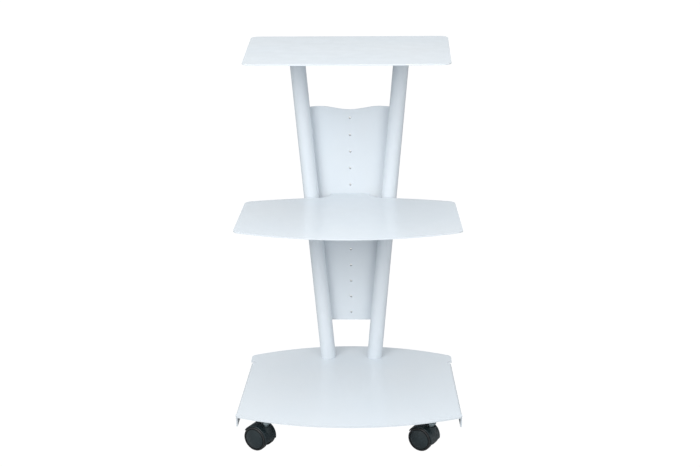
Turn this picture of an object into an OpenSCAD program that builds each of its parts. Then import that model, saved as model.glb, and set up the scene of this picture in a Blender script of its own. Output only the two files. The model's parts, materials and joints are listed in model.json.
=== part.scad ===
// Three-tier rolling trolley: three sheet-steel shelves on two splayed round
// uprights, joined by a perforated back plate, on four twin-wheel casters.
// Millimetres. The origin is on the floor at the centre of the footprint,
// +Z is up and the open front faces -Y.

/* [Levels] */
// Height of the top shelf's upper surface
top_level = 772; // [752:1:792]
// Height of the middle shelf's upper surface
middle_level = 442; // [434:1:450]
// Height of the base's upper surface
base_level = 75; // [75:1:85]

/* [Sheet metal] */
// Thickness of the top and middle shelves
shelf_t = 2.5; // [2:0.5:3]
// Thickness of the base
base_t = 3; // [2:0.5:3]
// Outer radius of every bend
bend_r = 5; // [4:0.5:6]

/* [Top shelf] */
// Half width at the front edge
top_front_half = 195; // [185:1:205]
// Half width at the back edge
top_back_half = 201; // [190:1:210]
// Distance of the front edge ahead of the centre
top_front = 111; // [95:1:120]
// Distance of the back edge behind the centre
top_back = 177; // [172:1:190]
// Radius of the front edge's slight bulge
top_front_r = 4600; // [3000:100:9000]
// Radius of the corners
top_corner_r = 18; // [10:1:30]

/* [Middle shelf] */
// Half width at the front corners
middle_front_half = 223.5; // [210:0.5:235]
// Half width at the back corners
middle_back_half = 216.5; // [205:0.5:230]
// Distance of the front edge ahead of the centre
middle_front = 143.5; // [130:0.5:155]
// Radius of the curved front edge
middle_front_r = 560; // [450:10:900]
// Radius of the curved back edge
middle_back_r = 800; // [600:10:1500]
// Gap between the back edge and the uprights
upright_gap = 2; // [1:0.5:4]
// Radius of the corners
middle_corner_r = 16; // [10:1:24]
// Half width of the tab that reaches the back plate
tab_half = 40; // [34:1:40]
// Radius of the fillets beside the tab
tab_fillet_r = 27.5; // [26:0.5:28]
// Length of the flange that is bent down at the end of the tab
tab_drop = 72; // [64:1:80]

/* [Base] */
// Half width on the centre line, over the flanges
base_half = 219.4; // [212:0.1:225]
// Sideways run of each side for each millimetre forward
base_taper = 0.0386; // [0.02:0.0001:0.05]
// Distance of the front edge ahead of the centre
base_front = 198.5; // [190:0.5:205]
// Distance of the back edge behind the centre
base_back = 198.5; // [190:0.5:205]
// Radius of the curved front edge
base_front_r = 582; // [500:1:900]
// Radius of the curved back edge
base_back_r = 480; // [440:1:700]
// Depth of the side flanges, from the upper surface
flange_drop = 28; // [18:1:28]
// Position of the flanges' front ends
flange_front = -143; // [-146:1:-130]
// Position of the flanges' back ends
flange_back = 108; // [100:1:112]
// Half width over the ears behind the flanges
ear_half = 217; // [215:0.5:219]

/* [Uprights and back plate] */
// Outer diameter of the upright tubes
tube_d = 32; // [28:1:34]
// Wall of the upright tubes
tube_wall = 1.5; // [1.2:0.1:3]
// Distance of the tubes' axes behind the centre
tube_y = 142.5; // [141:0.5:144]
// Offset of each tube's foot from the centre line
tube_foot_x = 50.2; // [47:0.1:54]
// Offset of each tube's head from the centre line
tube_head_x = 109; // [104:0.5:112]
// Thickness of the back plate
plate_t = 2; // [1.5:0.5:3]
// Height of the plate's lower edge
plate_bottom = 155; // [150:1:158]
// Number of holes in the row
hole_n = 13; // [11:1:13]
// Pitch of the holes
hole_pitch = 36; // [34:1:36]
// Diameter of the holes
hole_d = 4.5; // [4.3:0.1:5]

/* [Casters] */
// Wheel diameter
wheel_d = 50; // [46:1:50]
// Width of one wheel
wheel_w = 12.5; // [11:0.5:13]
// Distance from the swivel axis back to the axle
trail = 17; // [16:0.5:18]
// Swivel axis offset from the centre line
caster_x = 164; // [155:1:168]
// Distance of the front swivel axes ahead of the centre
caster_front = 146; // [135:1:148]
// Distance of the rear swivel axes behind the centre
caster_back = 128; // [110:1:130]
// Angle that the casters are turned to at rest, from +X
caster_turn = 150; // [0:5:355]

/* [Hidden] */
$fn = 96;
// Facets of the large edge arcs
ARC_FN = 720;
EPS = 0.01;
// Far enough to pass every edge
FAR = 300;

// Colours
WHITE = [0.92, 0.94, 0.95];
ZINC = [0.72, 0.74, 0.76];
BLACK = [0.12, 0.13, 0.14];

// Caster places, in the order front left, front right, rear left, rear right
CASTERS = [
    [-caster_x, -caster_front], [caster_x, -caster_front],
    [-caster_x, caster_back], [caster_x, caster_back]
];

// Uprights
bracket_t = 3;
head_level = top_level - shelf_t - bracket_t;
tube_slope = (tube_head_x - tube_foot_x) / (head_level - base_level);
tube_lean = atan(tube_slope);
tube_front = tube_y - tube_d / 2;
tube_back = tube_y + tube_d / 2;
function tube_x(z) = tube_foot_x + tube_slope * (z - base_level);

// Back plate
edge_margin = hole_pitch / 2;
first_hole = plate_bottom + edge_margin;
plate_top = first_hole + hole_pitch * (hole_n - 1) + edge_margin;
plate_wave = 3.6;
plate_wave_span = 124;
plate_lap = 6;
plate_nut_af = 7;
plate_nut_h = 3.2;
shelf_screw_d = 4;
shelf_holes = [6, 7];
function hole_z(i) = first_hole + hole_pitch * i;

// Top bracket and its studs
bracket_half = 132;
bracket_front = 18;
bracket_back = 170;
bracket_drop = 14;
stud_d = 6;
stud_len = 14;
stud_hole_d = 6.6;
stud_washer_t = 1.6;
stud_washer_d = 12;
stud_washer_hole_d = 6.4;
stud_nut_h = 5;
stud_nut_af = 10;
stud_x = 70;
stud_ys = [45, 145];

// Base bolts and plugs
bolt_d = 10;
bolt_grip = 18;
base_hole_d = 11;
base_washer_t = 2;
base_washer_d = 20;
base_washer_hole_d = 10.5;
plug_h = 20;

// Caster heights
axle_z = wheel_d / 2;
axle_d = 6;
web_half = 7;
wheel_gap = 0.5;
cap_r = 20;
cap_seat = 3.5;
wheel_clear = 0.7;
hood_t = 2;
hood_half = web_half + wheel_gap + wheel_w - 1.5;
hood_r = axle_z + wheel_clear + hood_t;
boss_top = axle_z + 26.6;
pin_d = 9;
pin_bottom = 30;
swivel_gap = 0.3;
ring_z = 33;
ring_h = 1.2;
ring_gap = 0.4;
ring_in_d = pin_d - 1.6;
ring_out_d = pin_d + 1.2;
collar_d = 13;
collar_bottom = boss_top + swivel_gap;
collar_top = boss_top + 1.5;
stem_top = base_level - base_t - 1;
jam_bottom = boss_top + 4;
jam_h = 5;
nut_af = 17;
fit = 0.05;

// ---------- shared shapes ----------

// Hexagonal prism with the distance AF across its flats
module hex(af, h) {
    cylinder(d = af / cos(30), h = h, $fn = 6);
}

// Cuts the corners of a hexagonal prism down to a 30 degree cone; ends is
// "both" or "bottom"
module hex_chamfer(af, h, ends) {
    tip = af / cos(30) / 2;
    flat = 0.96 * af / 2;
    drop = (tip - flat) * tan(30);
    top = ends == "both" ? [[tip, h - drop], [flat, h]] : [[tip, h]];
    rotate_extrude() polygon(concat([[0, 0], [flat, 0], [tip, drop]], top, [[0, h]]));
}

// Hexagonal nut with a round thread bore and chamfered corners
module nut(af, h, bore) {
    difference() {
        intersection() {
            hex(af, h);
            hex_chamfer(af, h, "both");
        }
        translate([0, 0, -EPS]) cylinder(d = bore, h = h + 2 * EPS);
    }
}

module washer(outer, inner, h) {
    difference() {
        cylinder(d = outer, h = h);
        translate([0, 0, -EPS]) cylinder(d = inner, h = h + 2 * EPS);
    }
}

// Turns a part built along +Z to point along +Y, with its origin at y
module along_y(x, y, z) {
    translate([x, y, z]) rotate([-90, 0, 0]) children();
}

module both_sides() {
    children();
    mirror([1, 0, 0]) children();
}

// Middle of the corner rounding of radius r between the side line
// x = half + k * y and an edge arc of radius big centred at [0, cy];
// dir is -1 at the front edge and 1 at the back edge
function corner_mid(half, k, big, cy, r, dir) =
    let (
        a = half - r * sqrt(1 + k * k),
        d = big - r,
        b = a * k - cy,
        y = (-b + dir * sqrt(b * b - (1 + k * k) * (a * a + cy * cy - d * d))) / (1 + k * k)
    )
    [a + k * y, y];

// What a rounded corner takes away, on the +X side
module corner_waste(half, k, big, cy, r, dir) {
    mid = corner_mid(half, k, big, cy, r, dir);
    side_pt = mid + r * [1, -k] / sqrt(1 + k * k);
    out = [mid[0], mid[1] - cy];
    arc_pt = mid + r * out / norm(out);
    difference() {
        polygon([mid, side_pt, side_pt + [r, dir * r], arc_pt + [r, dir * r], arc_pt]);
        translate(mid) circle(r);
    }
}

// Sheet bent through a right angle, drawn as a section: the flat comes from
// -X at the top and the leg goes down, with the outer corner at the origin.
// A strip of the flat laps into the sheet that the bend belongs to
module bend_section(t, drop) {
    lap = 1;
    intersection() {
        translate([-bend_r, -bend_r]) difference() {
            circle(bend_r);
            circle(bend_r - t);
        }
        translate([-bend_r, -bend_r]) square(bend_r);
    }
    translate([-t, -drop]) square([t, drop - bend_r]);
    translate([-bend_r - lap, -t]) square([lap, t]);
}

// ---------- top shelf and its bracket ----------

// Middle of a corner rounding against a straight back edge
function corner_mid_straight(half, k, back, r) =
    [half + k * (back - r) - r * sqrt(1 + k * k), back - r];

module top_outline() {
    k = (top_back_half - top_front_half) / (top_back + top_front);
    half = top_front_half + k * top_front;
    cy = top_front_r - top_front;
    back_mid = corner_mid_straight(half, k, top_back, top_corner_r);
    difference() {
        intersection() {
            polygon([
                [-half + k * FAR, -FAR], [half - k * FAR, -FAR],
                [half + k * top_back, top_back], [-half - k * top_back, top_back]
            ]);
            translate([0, cy]) circle(top_front_r, $fn = 8 * ARC_FN);
        }
        both_sides() {
            corner_waste(half, k, top_front_r, cy, top_corner_r, -1);
            difference() {
                polygon([
                    back_mid, back_mid + [0, top_corner_r], back_mid + [2, 2] * top_corner_r,
                    back_mid + top_corner_r * [1, -k] / sqrt(1 + k * k)
                ]);
                translate(back_mid) circle(top_corner_r);
            }
        }
    }
}

module top_shelf() {
    color(WHITE)
        translate([0, 0, top_level - shelf_t])
        linear_extrude(shelf_t) top_outline();
}

module at_studs() {
    for (x = [-stud_x, stud_x], y = stud_ys)
        translate([x, y, 0]) children();
}

// Studs welded under the top shelf, so that nothing shows above
module top_shelf_studs() {
    color(ZINC) at_studs()
        translate([0, 0, top_level - shelf_t - stud_len])
        cylinder(d = stud_d, h = stud_len);
}

// Channel welded to the heads of the uprights
module top_bracket() {
    length = bracket_back - bracket_front;
    color(WHITE) difference() {
        translate([0, bracket_back, top_level - shelf_t]) rotate([90, 0, 0])
            linear_extrude(length) both_sides() {
                translate([bracket_half, 0]) bend_section(bracket_t, bracket_drop);
                translate([0, -bracket_t]) square([bracket_half - bend_r, bracket_t]);
            }
        at_studs() translate([0, 0, head_level - 1]) cylinder(d = stud_hole_d, h = bracket_t + 2);
    }
}

module top_bracket_washers() {
    color(ZINC) at_studs()
        translate([0, 0, head_level - stud_washer_t])
        washer(stud_washer_d, stud_washer_hole_d, stud_washer_t);
}

module top_bracket_nuts() {
    color(ZINC) at_studs()
        translate([0, 0, head_level - stud_washer_t - stud_nut_h])
        nut(stud_nut_af, stud_nut_h, stud_d + 2 * fit);
}

// ---------- uprights ----------

// Round bar of diameter d along the right upright's axis, cut level
module leaning_bar(d, low, high) {
    spare = 100;
    intersection() {
        translate([tube_foot_x, tube_y, base_level]) rotate([0, tube_lean, 0])
            translate([0, 0, -spare]) cylinder(d = d, h = head_level - base_level + 2 * spare);
        translate([0, tube_y - tube_d, low]) cube([2 * tube_head_x, 2 * tube_d, high - low]);
    }
}

module upright() {
    difference() {
        leaning_bar(tube_d, base_level, head_level);
        leaning_bar(tube_d - 2 * tube_wall, base_level - 1, head_level + 1);
    }
}

module left_upright() {
    color(WHITE) mirror([1, 0, 0]) upright();
}

module right_upright() {
    color(WHITE) upright();
}

// Threaded plugs welded into the feet of the uprights
module upright_plugs() {
    color(ZINC) both_sides() difference() {
        leaning_bar(tube_d - 2 * tube_wall - 2 * fit, base_level, base_level + plug_h);
        translate([tube_foot_x, tube_y, base_level - 1])
            cylinder(d = bolt_d + 2 * fit, h = plug_h + 2);
    }
}

// ---------- back plate ----------

// Height of the plate's upper edge, a shallow wave with its dip in the middle
function plate_edge(x) = plate_top + plate_wave * (1 - cos(360 * x / plate_wave_span));

module back_plate() {
    low = tube_x(plate_bottom) + plate_lap;
    high = tube_x(plate_top) + plate_lap;
    steps = 36;
    edge = [for (i = [0 : steps]) let (x = high * (1 - 2 * i / steps)) [x, plate_edge(x)]];
    color(WHITE) difference() {
        translate([0, tube_back + plate_t, 0]) rotate([90, 0, 0]) linear_extrude(plate_t)
            polygon(concat([[-low, plate_bottom], [low, plate_bottom]], edge));
        for (i = [0 : hole_n - 1])
            along_y(0, tube_back - 1, hole_z(i)) cylinder(d = hole_d, h = plate_t + 2);
    }
}

// Nuts welded behind the holes
module plate_nuts() {
    color(ZINC) for (i = [0 : hole_n - 1])
        along_y(0, tube_back + plate_t, hole_z(i))
            nut(plate_nut_af, plate_nut_h, shelf_screw_d + 2 * fit);
}

// ---------- middle shelf ----------

// The back edge passes just ahead of the uprights
middle_back = tube_front - upright_gap
    + middle_back_r - sqrt(pow(middle_back_r, 2) - pow(tube_x(middle_level), 2));
middle_front_cy = middle_front_r - middle_front;
middle_back_cy = middle_back - middle_back_r;
// The front corners lie about here, and the back ones this far behind them
middle_corner_y = -95;
middle_side_run = 200;
middle_side_k = -(middle_front_half - middle_back_half) / middle_side_run;
middle_half = middle_front_half - middle_corner_y * middle_side_k;

// Fillet between the back edge and the tab, on the +X side
module tab_fillet() {
    x = tab_half + tab_fillet_r;
    reach = middle_back_r + tab_fillet_r;
    y = middle_back_cy + sqrt(reach * reach - x * x);
    touch = [0, middle_back_cy] + [x, y - middle_back_cy] * middle_back_r / reach;
    difference() {
        polygon([[tab_half - 1, y], [x, y], touch, touch - [0, 5], [tab_half - 1, touch[1] - 5]]);
        translate([x, y]) circle(tab_fillet_r);
    }
}

module middle_outline() {
    difference() {
        intersection() {
            polygon([
                [-middle_half + middle_side_k * FAR, -FAR], [middle_half - middle_side_k * FAR, -FAR],
                [middle_half + middle_side_k * FAR, FAR], [-middle_half - middle_side_k * FAR, FAR]
            ]);
            translate([0, middle_front_cy]) circle(middle_front_r, $fn = ARC_FN);
            translate([0, middle_back_cy]) circle(middle_back_r, $fn = ARC_FN);
        }
        both_sides() {
            corner_waste(middle_half, middle_side_k, middle_front_r, middle_front_cy, middle_corner_r, -1);
            corner_waste(middle_half, middle_side_k, middle_back_r, middle_back_cy, middle_corner_r, 1);
        }
    }
    tab_end = tube_back - bend_r;
    translate([-tab_half, 0]) square([2 * tab_half, tab_end]);
    intersection() {
        both_sides() tab_fillet();
        translate([-tab_half - tab_fillet_r, 0]) square([2 * (tab_half + tab_fillet_r), tab_end]);
    }
}

module at_shelf_holes() {
    for (i = shelf_holes) translate([0, 0, hole_z(i)]) children();
}

// Tray with a tab whose end is bent down against the back plate
module middle_shelf() {
    round_r = 8;
    color(WHITE) difference() {
        union() {
            translate([0, 0, middle_level - shelf_t]) linear_extrude(shelf_t) middle_outline();
            intersection() {
                translate([-tab_half, tube_back, middle_level]) rotate([90, 0, 90])
                    linear_extrude(2 * tab_half) bend_section(shelf_t, tab_drop);
                translate([0, tube_back, 0]) rotate([90, 0, 0]) linear_extrude(2 * bend_r) {
                    translate([-tab_half, middle_level - tab_drop + round_r])
                        square([2 * tab_half, tab_drop - round_r]);
                    translate([-tab_half + round_r, middle_level - tab_drop])
                        square([2 * (tab_half - round_r), tab_drop]);
                    for (x = [-1, 1])
                        translate([x * (tab_half - round_r), middle_level - tab_drop + round_r])
                            circle(round_r);
                }
            }
        }
        at_shelf_holes() along_y(0, tube_back - shelf_t - 1, 0) cylinder(d = hole_d, h = shelf_t + 2);
    }
}

// Button-head screws with hexagonal sockets, turned into the plate's nuts
module middle_shelf_screws() {
    head_r = 3.9;
    head_h = 2.4;
    dome_r = 5.4;
    socket_af = 2.5;
    socket_depth = 1.5;
    past_nut = 1.3;
    color(ZINC) at_shelf_holes() along_y(0, tube_back - shelf_t, 0) {
        cylinder(d = shelf_screw_d, h = shelf_t + plate_t + plate_nut_h + past_nut);
        translate([0, 0, -head_h]) difference() {
            rotate_extrude() intersection() {
                square([head_r, head_h]);
                translate([0, dome_r]) circle(dome_r);
            }
            translate([0, 0, -EPS]) hex(socket_af, socket_depth);
        }
    }
}

// ---------- base ----------

base_front_cy = base_front_r - base_front;
base_back_cy = base_back - base_back_r;
relief_w = 7;
relief_depth = 3;
base_front_corner_r = 10;
base_ear_corner_r = 12;
function base_side(y) = base_half - base_taper * y;

module base_outline() {
    ear_front = flange_back + relief_w;
    flat_half = base_half - bend_r * sqrt(1 + base_taper * base_taper);
    difference() {
        intersection() {
            polygon(concat(
                [for (s = [-1, 1]) [s * base_side(-FAR), -FAR]],
                [[base_side(ear_front), ear_front], [ear_half, ear_front], [ear_half, FAR]],
                [[-ear_half, FAR], [-ear_half, ear_front], [-base_side(ear_front), ear_front]]
            ));
            translate([0, base_front_cy]) circle(base_front_r, $fn = ARC_FN);
            translate([0, base_back_cy]) circle(base_back_r, $fn = ARC_FN);
        }
        both_sides() {
            corner_waste(base_half, -base_taper, base_front_r, base_front_cy, base_front_corner_r, -1);
            corner_waste(ear_half, 0, base_back_r, base_back_cy, base_ear_corner_r, 1);
            // What the bend takes from the flat, and the relief behind it
            polygon([
                [flat_half - base_taper * flange_front, flange_front],
                [flat_half - base_taper * flange_back, flange_back],
                [FAR, flange_back], [FAR, flange_front]
            ]);
            translate([base_side(flange_back) - bend_r - relief_depth, flange_back])
                square([FAR, relief_w]);
        }
    }
}

// Side flange with its bend, on the +X side
module base_flange() {
    intersection() {
        translate([base_side(-FAR), -FAR, base_level]) rotate([0, 0, atan(base_taper)])
            rotate([90, 0, 180]) mirror([1, 0, 0]) linear_extrude(2 * FAR)
            bend_section(base_t, flange_drop);
        translate([0, flange_front, 0]) cube([FAR, flange_back - flange_front, base_level]);
    }
}

module at_bolts() {
    both_sides() translate([tube_foot_x, tube_y, 0]) children();
}

module base_plate() {
    color(WHITE) difference() {
        union() {
            translate([0, 0, base_level - base_t]) linear_extrude(base_t) base_outline();
            both_sides() base_flange();
        }
        at_bolts() translate([0, 0, base_level - base_t - 1]) cylinder(d = base_hole_d, h = base_t + 2);
    }
}

module base_washers() {
    color(ZINC) at_bolts() translate([0, 0, base_level - base_t - base_washer_t])
        washer(base_washer_d, base_washer_hole_d, base_washer_t);
}

module base_bolts() {
    head_h = 6.4;
    head_af = 16;
    color(ZINC) at_bolts() translate([0, 0, base_level - base_t - base_washer_t]) {
        cylinder(d = bolt_d, h = base_t + base_washer_t + bolt_grip);
        translate([0, 0, -head_h]) intersection() {
            hex(head_af, head_h);
            hex_chamfer(head_af, head_h, "bottom");
        }
    }
}

// ---------- casters ----------

module at_casters() {
    for (p = CASTERS) translate([p[0], p[1], 0]) children();
}

// Puts a caster part at place i, turned to the rest angle
module at_caster(i) {
    translate([CASTERS[i][0], CASTERS[i][1], 0]) rotate([0, 0, caster_turn]) children();
}

// Nuts welded under the base for the casters' stems
module caster_weld_nuts() {
    bottom = jam_bottom + jam_h;
    height = base_level - base_t - bottom;
    color(ZINC) at_casters() translate([0, 0, bottom]) nut(nut_af, height, bolt_d + 2 * fit);
}

module caster_jam_nuts() {
    color(ZINC) at_casters() translate([0, 0, jam_bottom]) nut(nut_af, jam_h, bolt_d + 2 * fit);
}

// Spring rings that hold the stems in the housings
module stem_rings() {
    color(ZINC) at_casters() translate([0, 0, ring_z]) washer(ring_out_d, ring_in_d, ring_h);
}

// Threaded stem with a collar and a swivel pin
module stem(i) {
    color(ZINC) translate([CASTERS[i][0], CASTERS[i][1], 0]) difference() {
        union() {
            translate([0, 0, pin_bottom]) cylinder(d = pin_d, h = collar_top - pin_bottom);
            translate([0, 0, collar_bottom]) cylinder(d = collar_d, h = collar_top - collar_bottom);
            translate([0, 0, collar_top - EPS]) cylinder(d = bolt_d, h = stem_top - collar_top);
        }
        translate([0, 0, ring_z]) washer(pin_d + 2, ring_in_d - 2 * fit, ring_h);
    }
}

// Solid drum with rounded rims, from which the hood is cut
module hood_drum() {
    rim_r = 1.5;
    rotate_extrude() {
        translate([0, -hood_half]) square([hood_r - rim_r, 2 * hood_half]);
        translate([0, rim_r - hood_half]) square([hood_r, 2 * (hood_half - rim_r)]);
        for (y = [-1, 1] * (hood_half - rim_r)) translate([hood_r - rim_r, y]) circle(rim_r);
    }
}

// Hood over the upper half of both wheels, with the web between them
module housing(i) {
    wheel_r = axle_z + wheel_clear;
    // Where the hood ends, from its front round over the top to the stem side
    front_end = 30;
    stem_end = 190.5;
    reach = 2 * hood_r;
    hub_r = 8;
    boss_d = 19;
    color(BLACK) at_caster(i) difference() {
        union() {
            translate([trail, 0, axle_z]) rotate([90, 0, 0]) {
                intersection() {
                    hood_drum();
                    translate([0, 0, -hood_half - 1]) linear_extrude(2 * hood_half + 2) polygon([
                        [0, 0], reach * [cos(front_end), sin(front_end)], reach * [1, 2],
                        reach * [-2, 2], reach * [cos(stem_end), sin(stem_end)]
                    ]);
                }
                translate([0, 0, -web_half]) cylinder(r = hub_r, h = 2 * web_half);
            }
            translate([0, 0, axle_z]) cylinder(d = boss_d, h = boss_top - axle_z);
        }
        for (s = [0, 1]) mirror([0, s, 0])
            translate([trail, web_half + 20, axle_z]) rotate([90, 0, 0]) cylinder(r = wheel_r, h = 20);
        translate([trail, web_half + 1, axle_z]) rotate([90, 0, 0])
            cylinder(d = axle_d + 2 * fit, h = 2 * web_half + 2);
        translate([0, 0, pin_bottom - swivel_gap]) cylinder(d = pin_d + 2 * fit, h = boss_top);
        translate([0, 0, ring_z - ring_gap])
            cylinder(d = ring_out_d + 2 * swivel_gap, h = ring_h + 2 * ring_gap);
    }
}

module axle(i) {
    half = web_half + wheel_gap + wheel_w - 4;
    color(ZINC) at_caster(i) translate([trail, half, axle_z]) rotate([90, 0, 0])
        cylinder(d = axle_d, h = 2 * half);
}

// Puts a wheel part, built with its inner face at z = 0, on side s of caster i
module at_wheel(i, s) {
    at_caster(i) translate([trail, s * (web_half + wheel_gap), axle_z]) rotate([-90 * s, 0, 0]) children();
}

// Wheel with a rounded tread, a seat for its cap and a hollow inner side
module wheel(i, s) {
    edge_r = 2.5;
    seat_r = cap_r + 1.2;
    hollow_in = 9;
    hollow_out = 20;
    hollow_depth = 4;
    r = wheel_d / 2;
    color(BLACK) at_wheel(i, s) rotate_extrude() difference() {
        union() {
            square([r - edge_r, wheel_w]);
            translate([0, edge_r]) square([r, wheel_w - 2 * edge_r]);
            for (y = [edge_r, wheel_w - edge_r]) translate([r - edge_r, y]) circle(edge_r);
        }
        translate([-EPS, -EPS]) square([axle_d / 2 + fit + EPS, wheel_w + 1]);
        translate([-EPS, wheel_w - cap_seat]) square([seat_r + EPS, cap_seat + 1]);
        translate([hollow_in, -EPS]) square([hollow_out - hollow_in, hollow_depth]);
    }
}

// Domed cap in the wheel's seat, with a narrow groove round it
module cap(i, s) {
    rise = 4;
    dome_r = (cap_r * cap_r + rise * rise) / (2 * rise);
    apex = wheel_w + rise - 0.5;
    color(BLACK) at_wheel(i, s) rotate_extrude() intersection() {
        translate([0, wheel_w - cap_seat]) square([cap_r, cap_seat + rise]);
        translate([0, apex - dome_r]) circle(dome_r, $fn = 4 * $fn);
    }
}

// ---------- nodes ----------

top_shelf();
top_shelf_studs();
top_bracket();
top_bracket_washers();
top_bracket_nuts();
left_upright();
right_upright();
upright_plugs();
back_plate();
plate_nuts();
middle_shelf();
middle_shelf_screws();
base_plate();
base_bolts();
base_washers();
caster_weld_nuts();
caster_jam_nuts();
stem_rings();

stem(0);  // front_left_stem
housing(0);  // front_left_housing
axle(0);  // front_left_axle
wheel(0, 1);  // front_left_wheel_a
wheel(0, -1);  // front_left_wheel_b
cap(0, 1);  // front_left_cap_a
cap(0, -1);  // front_left_cap_b

stem(1);  // front_right_stem
housing(1);  // front_right_housing
axle(1);  // front_right_axle
wheel(1, 1);  // front_right_wheel_a
wheel(1, -1);  // front_right_wheel_b
cap(1, 1);  // front_right_cap_a
cap(1, -1);  // front_right_cap_b

stem(2);  // rear_left_stem
housing(2);  // rear_left_housing
axle(2);  // rear_left_axle
wheel(2, 1);  // rear_left_wheel_a
wheel(2, -1);  // rear_left_wheel_b
cap(2, 1);  // rear_left_cap_a
cap(2, -1);  // rear_left_cap_b

stem(3);  // rear_right_stem
housing(3);  // rear_right_housing
axle(3);  // rear_right_axle
wheel(3, 1);  // rear_right_wheel_a
wheel(3, -1);  // rear_right_wheel_b
cap(3, 1);  // rear_right_cap_a
cap(3, -1);  // rear_right_cap_b
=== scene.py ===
import json
import math

import bpy
from mathutils import Matrix, Vector


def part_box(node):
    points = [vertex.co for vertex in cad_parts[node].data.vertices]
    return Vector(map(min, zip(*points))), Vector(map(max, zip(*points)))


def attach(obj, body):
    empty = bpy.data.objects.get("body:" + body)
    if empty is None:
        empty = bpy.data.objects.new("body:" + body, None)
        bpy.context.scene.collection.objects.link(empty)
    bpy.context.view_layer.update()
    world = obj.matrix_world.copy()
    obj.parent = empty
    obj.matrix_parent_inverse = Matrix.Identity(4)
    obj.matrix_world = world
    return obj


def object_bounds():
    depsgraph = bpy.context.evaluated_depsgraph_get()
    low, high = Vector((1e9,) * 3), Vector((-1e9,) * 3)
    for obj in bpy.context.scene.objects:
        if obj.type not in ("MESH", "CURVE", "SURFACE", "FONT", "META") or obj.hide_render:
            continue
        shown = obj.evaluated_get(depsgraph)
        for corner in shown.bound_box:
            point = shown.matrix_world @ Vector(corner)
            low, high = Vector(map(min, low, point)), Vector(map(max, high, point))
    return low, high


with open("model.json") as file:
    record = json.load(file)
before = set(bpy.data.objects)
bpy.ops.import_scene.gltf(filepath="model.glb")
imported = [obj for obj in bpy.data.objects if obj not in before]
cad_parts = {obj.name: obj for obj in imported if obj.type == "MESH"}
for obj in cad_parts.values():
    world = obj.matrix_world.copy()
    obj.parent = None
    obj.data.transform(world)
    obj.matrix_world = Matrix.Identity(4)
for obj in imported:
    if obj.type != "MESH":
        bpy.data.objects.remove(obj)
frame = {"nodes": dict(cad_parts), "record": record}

CAD_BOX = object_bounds()
NODES = frame["nodes"]
BODIES = frame["record"]["behaviour"]["bodies"]
SLOT_OF = {row["node"]: row["material_slot"] for row in frame["record"]["subparts"]}

# ---------- camera ----------

CAMERA_SIDE = 0.063
CAMERA_BACK = 2.626
CAMERA_HEIGHT = 1.287
CAMERA_DOWN = math.radians(18.55)
CAMERA_TURN = math.radians(1.33)
CAMERA_ROLL = math.radians(-0.46)
CAMERA_LENS = 70.95
CAMERA_SENSOR = 36
CAMERA_REACH = 200


def make_camera():
    """A camera in front of the object, a little to its right, aimed at it from above."""
    data = bpy.data.cameras.new("camera")
    data.lens = CAMERA_LENS
    data.sensor_width = CAMERA_SENSOR
    data.clip_end = CAMERA_REACH
    camera = bpy.data.objects.new("camera", data)
    right = Vector((math.cos(CAMERA_TURN), math.sin(CAMERA_TURN), 0))
    level = Vector((-math.sin(CAMERA_TURN), math.cos(CAMERA_TURN), 0))
    forward = math.cos(CAMERA_DOWN) * level - math.sin(CAMERA_DOWN) * Vector((0, 0, 1))
    up = right.cross(forward)
    across = math.cos(CAMERA_ROLL) * right + math.sin(CAMERA_ROLL) * up
    upward = -math.sin(CAMERA_ROLL) * right + math.cos(CAMERA_ROLL) * up
    turn = Matrix((across, upward, -forward)).transposed().to_4x4()
    camera.matrix_world = Matrix.Translation((CAMERA_SIDE, -CAMERA_BACK, CAMERA_HEIGHT)) @ turn
    bpy.context.scene.collection.objects.link(camera)
    bpy.context.scene.camera = camera


# ---------- materials ----------

class Graph:
    """A material's node tree, with a short way to add nodes and links."""

    def __init__(self, name):
        self.material = bpy.data.materials.new(name)
        self.material.use_nodes = True
        self.tree = self.material.node_tree
        self.shader = self.tree.nodes["Principled BSDF"]
        self.place = self.add("ShaderNodeTexCoord").outputs["Object"]

    def add(self, kind, **settings):
        node = self.tree.nodes.new(kind)
        for key, value in settings.items():
            setattr(node, key, value)
        return node

    def link(self, output, socket):
        self.tree.links.new(output, socket)

    def noise(self, scale, detail=2.0, stretch=None):
        """Noise in metres: scale is in cells per metre, and stretch scales X, Y and Z first."""
        node = self.add("ShaderNodeTexNoise")
        node.inputs["Scale"].default_value = scale
        node.inputs["Detail"].default_value = detail
        place = self.place
        if stretch:
            mapping = self.add("ShaderNodeMapping")
            mapping.inputs["Scale"].default_value = stretch
            self.link(place, mapping.inputs["Vector"])
            place = mapping.outputs["Vector"]
        self.link(place, node.inputs["Vector"])
        return node.outputs["Fac"]

    def ranged(self, value, low, high, start=0.3, end=0.7):
        """Maps value from start to end onto low to high."""
        node = self.add("ShaderNodeMapRange")
        for name, number in zip(("From Min", "From Max", "To Min", "To Max"), (start, end, low, high)):
            node.inputs[name].default_value = number
        self.link(value, node.inputs["Value"])
        return node.outputs["Result"]

    def blend(self, factor, first, second):
        node = self.add("ShaderNodeMix", data_type="RGBA")
        node.inputs["A"].default_value = (*first, 1)
        node.inputs["B"].default_value = (*second, 1)
        self.link(factor, node.inputs["Factor"])
        return node.outputs["Result"]

    def bump(self, height, strength, distance, below=None):
        node = self.add("ShaderNodeBump")
        node.inputs["Strength"].default_value = strength
        node.inputs["Distance"].default_value = distance
        self.link(height, node.inputs["Height"])
        if below is not None:
            self.link(below, node.inputs["Normal"])
        return node.outputs["Normal"]


COAT_TONE = (0.725, 0.765, 0.80)
COAT_TONE_COOL = (0.71, 0.76, 0.805)


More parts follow.
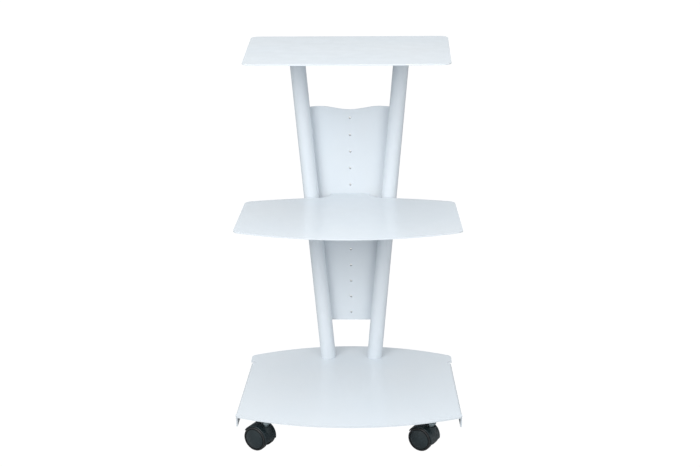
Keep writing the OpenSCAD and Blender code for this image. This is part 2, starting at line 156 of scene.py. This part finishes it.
def powder_coat():
    """Gloss powder coat: a fine orange peel, a slow drift of tone and a little uneven gloss."""
    g = Graph("powder_coat")
    tone = g.ranged(g.noise(6, 3), 0, 1)
    g.link(g.blend(tone, COAT_TONE, COAT_TONE_COOL), g.shader.inputs["Base Color"])
    gloss = g.ranged(g.noise(38, 4), 0.2, 0.265)
    g.link(gloss, g.shader.inputs["Roughness"])
    g.link(g.bump(g.noise(420, 1), 0.05, 0.0002), g.shader.inputs["Normal"])
    return g.material


def caster_gloss():
    """Moulded black nylon with a soft sheen and faint flow marks."""
    g = Graph("caster_gloss")
    tone = g.ranged(g.noise(60, 3), 0, 1)
    g.link(g.blend(tone, (0.009, 0.0170, 0.0200), (0.014, 0.0235, 0.0270)), g.shader.inputs["Base Color"])
    g.link(g.ranged(g.noise(140, 4), 0.28, 0.37), g.shader.inputs["Roughness"])
    g.link(g.bump(g.noise(2400, 2), 0.08, 0.0001), g.shader.inputs["Normal"])
    return g.material


def wheel_tread():
    """Satin black nylon, a little dusty and scuffed."""
    g = Graph("wheel_tread")
    dust = g.ranged(g.noise(220, 5), 0, 1, 0.45, 0.75)
    g.link(g.blend(dust, (0.008, 0.009, 0.010), (0.020, 0.021, 0.022)), g.shader.inputs["Base Color"])
    g.link(g.ranged(g.noise(180, 4), 0.34, 0.52), g.shader.inputs["Roughness"])
    g.link(g.bump(g.noise(1800, 3), 0.15, 0.0001), g.shader.inputs["Normal"])
    return g.material


def zinc_plate():
    """Bright zinc plate with a faint spangle and uneven polish."""
    g = Graph("zinc_plate")
    g.shader.inputs["Metallic"].default_value = 1
    tone = g.ranged(g.noise(160, 3), 0, 1)
    g.link(g.blend(tone, (0.28, 0.34, 0.36), (0.36, 0.42, 0.43)), g.shader.inputs["Base Color"])
    g.link(g.ranged(g.noise(500, 4), 0.28, 0.44), g.shader.inputs["Roughness"])
    g.link(g.bump(g.noise(1500, 2), 0.12, 0.0001), g.shader.inputs["Normal"])
    return g.material


# ---------- CAD nodes ----------

SHEETS = ("top_shelf", "middle_shelf", "base_plate", "back_plate", "top_bracket")
MERGE_DISTANCE = 2e-6
FLAT_ANGLE = math.radians(0.3)
EDGE_RADIUS = 0.0004
EDGE_ANGLE = math.radians(40)
NORMAL_WEIGHT = 80


def finish_node(name, material):
    """Gives a CAD node its material, and rounds its edges a little."""
    node = NODES[name]
    node.data.materials.clear()
    node.data.materials.append(material)
    weld = node.modifiers.new("weld", "WELD")
    weld.merge_threshold = MERGE_DISTANCE
    if name in SHEETS:
        flat = node.modifiers.new("flat", "DECIMATE")
        flat.decimate_type = "DISSOLVE"
        flat.angle_limit = FLAT_ANGLE
    bevel = node.modifiers.new("bevel", "BEVEL")
    bevel.width = EDGE_RADIUS
    bevel.segments = 2
    bevel.limit_method = "ANGLE"
    bevel.angle_limit = EDGE_ANGLE
    bevel.use_clamp_overlap = True
    normals = node.modifiers.new("normals", "WEIGHTED_NORMAL")
    normals.keep_sharp = False
    normals.weight = NORMAL_WEIGHT


def finish_nodes(made):
    for name in NODES:
        finish_node(name, made[SLOT_OF[name]])


# ---------- welds and threads ----------

def mesh_piece(name, verts, faces, material):
    """A smooth-shaded piece of the frame, finished with one material."""
    mesh = bpy.data.meshes.new(name)
    mesh.from_pydata(verts, [], faces)
    mesh.polygons.foreach_set("use_smooth", [True] * len(faces))
    mesh.materials.append(material)
    piece = bpy.data.objects.new(name, mesh)
    bpy.context.scene.collection.objects.link(piece)
    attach(piece, "root")
    return piece


class Rows:
    """Vertices and faces of swept sections, gathered for one mesh."""

    def __init__(self):
        self.verts, self.faces = [], []

    def sweep(self, rings, closed=False):
        """Joins rings of equally many points, and caps the ends if the sweep is open."""
        base, n = len(self.verts), len(rings[0])
        for ring in rings:
            self.verts.extend(tuple(v) for v in ring)
        count = len(rings)
        for i in range(count if closed else count - 1):
            a, b = base + i * n, base + (i + 1) % count * n
            for k in range(n):
                self.faces.append((a + k, a + (k + 1) % n, b + (k + 1) % n, b + k))
        if not closed:
            self.faces.append(tuple(base + k for k in reversed(range(n))))
            self.faces.append(tuple(base + (count - 1) * n + k for k in range(n)))


class Upright:
    """Axis line and radius of an upright, read from its box."""

    def __init__(self, node, side):
        low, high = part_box(node)
        self.side = side
        self.radius = (high.y - low.y) / 2
        self.y = (high.y + low.y) / 2
        self.low, self.high = low.z, high.z
        ends = sorted((abs(low.x), abs(high.x)))
        self.foot, self.head = ends[0] + self.radius, ends[1] - self.radius
        self.slope = (self.head - self.foot) / (self.high - self.low)

    def x(self, z):
        return self.side * (self.foot + self.slope * (z - self.low))


BEAD_R = 0.0017
RIPPLE = 0.0022
BEAD_SIDES = 10
STITCHES = 5
STITCH_LENGTH = 0.026
STITCH_STEPS = 60
STITCH_MARGIN = 0.02
HEAD_STEPS = 240


def bead_size(along, length):
    """Radius of a weld bead at a distance along it: rippled, and thin at its ends."""
    ends = min(1, 0.25 + 3.5 * min(along, length - along) / length)
    return BEAD_R * ends * (1 + 0.13 * math.sin(2 * math.pi * along / RIPPLE))


def plate_welds(material):
    """Stitch welds down both edges of the back plate, where it laps the uprights."""
    low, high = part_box("back_plate")
    rows = Rows()
    for upright in (Upright("left_upright", -1), Upright("right_upright", 1)):
        lap = high.x - abs(upright.x(high.z))
        for k in range(STITCHES):
            run = high.z - low.z - 2 * STITCH_MARGIN - STITCH_LENGTH
            start = low.z + STITCH_MARGIN + run * k / (STITCHES - 1)
            rings = []
            for i in range(STITCH_STEPS + 1):
                along = STITCH_LENGTH * i / STITCH_STEPS
                z = start + along
                r = bead_size(along, STITCH_LENGTH)
                centre = Vector((upright.x(z) + upright.side * (lap - 0.0002), high.y - 0.0013, z))
                turns = (2 * math.pi * j / BEAD_SIDES for j in range(BEAD_SIDES))
                rings.append([centre + r * Vector((1.25 * math.cos(t), math.sin(t), 0)) for t in turns])
            rows.sweep(rings)
    return mesh_piece("plate_welds", rows.verts, rows.faces, material)


def head_welds(material):
    """A bead round each upright's head, under the bracket."""
    rows = Rows()
    for upright in (Upright("left_upright", -1), Upright("right_upright", 1)):
        middle = Vector((upright.x(upright.high), upright.y, upright.high - 0.0004))
        round_trip = 2 * math.pi * upright.radius
        ripples = round(round_trip / RIPPLE)
        rings = []
        for i in range(HEAD_STEPS):
            turn = 2 * math.pi * i / HEAD_STEPS
            out = Vector((math.cos(turn), math.sin(turn), 0))
            r = BEAD_R * (1 + 0.12 * math.sin(turn * ripples))
            centre = middle + upright.radius * out
            turns = (2 * math.pi * j / BEAD_SIDES for j in range(BEAD_SIDES))
            rings.append([centre + r * (math.cos(t) * out + Vector((0, 0, math.sin(t)))) for t in turns])
        rows.sweep(rings, closed=True)
    return mesh_piece("head_welds", rows.verts, rows.faces, material)


M4_RADIUS, M4_PITCH = 0.002, 0.0007
M6_RADIUS, M6_PITCH = 0.003, 0.001
HOLE_PITCH = 0.036
THREAD_STEPS = 20
THREAD_FADE = 8


def thread(rows, start, axis, length, radius, pitch, depth):
    """One helical ridge; a positive depth points inwards, as in a nut, and a negative one outwards."""
    axis = Vector(axis).normalized()
    side = axis.orthogonal().normalized()
    other = axis.cross(side)
    steps = int(THREAD_STEPS * length / pitch)
    rings = []
    for i in range(steps + 1):
        turn = 2 * math.pi * i / THREAD_STEPS
        out = math.cos(turn) * side + math.sin(turn) * other
        at = Vector(start) + axis * (pitch * i / THREAD_STEPS)
        crest = min(1, i / THREAD_FADE, (steps - i) / THREAD_FADE)
        rings.append([
            at + radius * out - 0.42 * pitch * axis,
            at + (radius - depth * crest) * out,
            at + radius * out + 0.42 * pitch * axis,
        ])
    rows.sweep(rings)


def nut_places():
    """Middles of the nuts behind the back plate, lowest first, and which of them hold a screw."""
    low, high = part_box("plate_nuts")
    half = (high.x - low.x) / 2 * math.cos(math.radians(30))
    count = round((high.z - low.z - 2 * half) / HOLE_PITCH) + 1
    screw_low, screw_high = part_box("middle_shelf_screws")
    heights = [low.z + half + HOLE_PITCH * k for k in range(count)]
    taken = [screw_low.z - 0.001 < z < screw_high.z + 0.001 for z in heights]
    return low.y, high.y, heights, taken


def hole_threads(material):
    """Threads in the free nuts behind the back plate."""
    front, back, heights, taken = nut_places()
    rows = Rows()
    for z, used in zip(heights, taken):
        if not used:
            start, length = (0, front + 0.0003, z), back - front - 0.0006
            thread(rows, start, (0, 1, 0), length, 0.00205, M4_PITCH, 0.0004)
    return mesh_piece("hole_threads", rows.verts, rows.faces, material)


def end_threads(material):
    """Threads on the ends of the shelf screws and of the top shelf's studs."""
    rows = Rows()
    front, back, heights, taken = nut_places()
    screw_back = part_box("middle_shelf_screws")[1].y
    for z, used in zip(heights, taken):
        if used:
            start, length = (0, back + 0.0002, z), screw_back - back - 0.0004
            thread(rows, start, (0, 1, 0), length, M4_RADIUS, M4_PITCH, -0.00025)
    stud_low, stud_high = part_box("top_shelf_studs")
    nut_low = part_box("top_bracket_nuts")[0].z
    for x in (stud_low.x + M6_RADIUS, stud_high.x - M6_RADIUS):
        for y in (stud_low.y + M6_RADIUS, stud_high.y - M6_RADIUS):
            start, length = (x, y, stud_low.z + 0.0002), nut_low - stud_low.z
            thread(rows, start, (0, 0, 1), length, M6_RADIUS, M6_PITCH, -0.00035)
    return mesh_piece("end_threads", rows.verts, rows.faces, material)


# ---------- stage ----------

FLOOR_SIZE = 60
FLOOR_TONE = (0.45, 0.46, 0.47)
# The seen floor is a lit white sweep: it glows, and takes only a part of the shadows
SWEEP_GLOW = 1.0
SWEEP_TONE = (0.16, 0.16, 0.16)
SWEEP_DROP = 0.0002
WHITE = (1, 1, 1, 1)


def make_plane(name):
    mesh = bpy.data.meshes.new(name)
    half = FLOOR_SIZE / 2
    corners = [(-half, -half, 0), (half, -half, 0), (half, half, 0), (-half, half, 0)]
    mesh.from_pydata(corners, [], [(0, 1, 2, 3)])
    plane = bpy.data.objects.new(name, mesh)
    bpy.context.scene.collection.objects.link(plane)
    g = Graph(name)
    g.shader.inputs["Roughness"].default_value = 1
    g.shader.inputs["Specular IOR Level"].default_value = 0
    mesh.materials.append(g.material)
    return plane, g.shader


def make_floor():
    """A pale floor, in two layers: one bounces light, and the other is what the camera sees."""
    bounce, shader = make_plane("floor_bounce")
    shader.inputs["Base Color"].default_value = (*FLOOR_TONE, 1)
    bounce.visible_camera = False
    sweep, shader = make_plane("floor_sweep")
    shader.inputs["Base Color"].default_value = (*SWEEP_TONE, 1)
    shader.inputs["Emission Color"].default_value = WHITE
    shader.inputs["Emission Strength"].default_value = SWEEP_GLOW
    sweep.visible_diffuse = False
    sweep.visible_glossy = False
    sweep.visible_transmission = False
    sweep.visible_shadow = False
    sweep.location.z = -SWEEP_DROP
    sweep.data.materials[0].cycles.emission_sampling = "NONE"


def softbox(name, place, size, power):
    """A rectangular light at a place that is given from the object's middle, and aimed there."""
    low, high = CAD_BOX
    middle = (low + high) / 2
    data = bpy.data.lights.new(name, "AREA")
    data.shape = "RECTANGLE"
    data.size, data.size_y = size
    data.energy = power
    light = bpy.data.objects.new(name, data)
    light.location = middle + Vector(place)
    light.rotation_euler = (-Vector(place)).to_track_quat("-Z", "Y").to_euler()
    bpy.context.scene.collection.objects.link(light)
    return light


# Where the studio is brightest, and its brightness there and on the far side
BRIGHT_SIDE = Vector((-0.05, -0.25, 0.9)).normalized()
STUDIO_BRIGHT = 0.68
STUDIO_DIM = 0.40
STUDIO_TONE = (0.95, 0.98, 1.0, 1)
DIM_END, BRIGHT_END = -0.7, 0.9


def make_world():
    """A soft white room that gets dimmer away from its bright side."""
    world = bpy.data.worlds.new("world")
    world.use_nodes = True
    tree = world.node_tree
    background = tree.nodes["Background"]
    background.inputs["Color"].default_value = STUDIO_TONE
    place = tree.nodes.new("ShaderNodeTexCoord")
    along = tree.nodes.new("ShaderNodeVectorMath")
    along.operation = "DOT_PRODUCT"
    along.inputs[1].default_value = BRIGHT_SIDE
    level = tree.nodes.new("ShaderNodeMapRange")
    level.interpolation_type = "SMOOTHSTEP"
    level.inputs["From Min"].default_value = DIM_END
    level.inputs["From Max"].default_value = BRIGHT_END
    level.inputs["To Min"].default_value = STUDIO_DIM
    level.inputs["To Max"].default_value = STUDIO_BRIGHT
    tree.links.new(place.outputs["Generated"], along.inputs[0])
    tree.links.new(along.outputs["Value"], level.inputs["Value"])
    tree.links.new(level.outputs["Result"], background.inputs["Strength"])
    # What shows past the edge of the floor is as white as the sweep
    ray = tree.nodes.new("ShaderNodeLightPath")
    white = tree.nodes.new("ShaderNodeBackground")
    white.inputs["Color"].default_value = WHITE
    choice = tree.nodes.new("ShaderNodeMixShader")
    tree.links.new(ray.outputs["Is Camera Ray"], choice.inputs["Fac"])
    tree.links.new(background.outputs["Background"], choice.inputs[1])
    tree.links.new(white.outputs["Background"], choice.inputs[2])
    tree.links.new(choice.outputs["Shader"], tree.nodes["World Output"].inputs["Surface"])
    bpy.context.scene.world = world


def make_lights():
    softbox("key", (-1.2, -2.0, 1.5), (1.5, 1.5), 41)
    softbox("top", (0.0, -0.4, 1.5), (1.2, 1.2), 6.5)
    fill = softbox("fill", (1.3, -2.0, 0.9), (1.4, 1.4), 17)
    # It sits low, and its reflection would wash out the shelves from behind
    fill.visible_glossy = False
    make_world()
    bpy.context.scene.view_settings.view_transform = "Standard"


make_camera()
FINISHES = {f.__name__: f() for f in (powder_coat, zinc_plate, caster_gloss, wheel_tread)}
finish_nodes(FINISHES)
plate_welds(FINISHES["powder_coat"])
head_welds(FINISHES["powder_coat"])
hole_threads(FINISHES["zinc_plate"])
end_threads(FINISHES["zinc_plate"])
make_floor()
make_lights()
